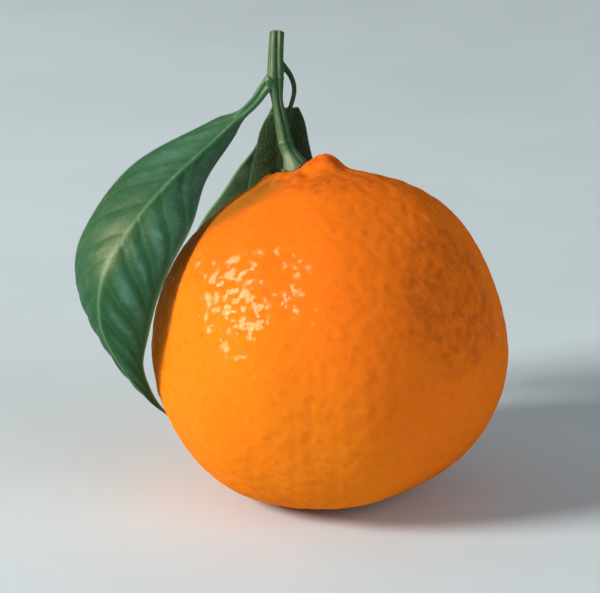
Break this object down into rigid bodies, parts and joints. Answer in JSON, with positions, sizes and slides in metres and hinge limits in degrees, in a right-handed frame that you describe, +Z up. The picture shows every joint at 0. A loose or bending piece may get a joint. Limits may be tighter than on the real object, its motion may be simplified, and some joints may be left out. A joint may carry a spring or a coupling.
{
  "type": "mandarin",
  "caption": "Whole mandarin with its calyx, a short cut stalk and glossy green leaves, resting on a small flat spot.",
  "frame": {"origin": "the middle of the flat spot that the fruit rests on, at the level of the surface", "axes": "+Z up towards the cut stalk, +X to the right and +Y to the back as the fruit is seen from its front"},
  "size_m": [0.0797, 0.076, 0.0843],
  "materials": {
    "rind": "satin",
    "calyx": "matte",
    "bark": "matte",
    "leaf_green": "satin",
    "leaf_dark": "matte",
    "leaf_pale": "matte"
  },
  "bodies": {
    "root": {"fruit": "rind", "calyx": "calyx", "twig": "bark", "leaf_left": "leaf_green", "leaf_right": "leaf_dark", "leaf_back": "leaf_pale"}
  },
  "joints": []
}
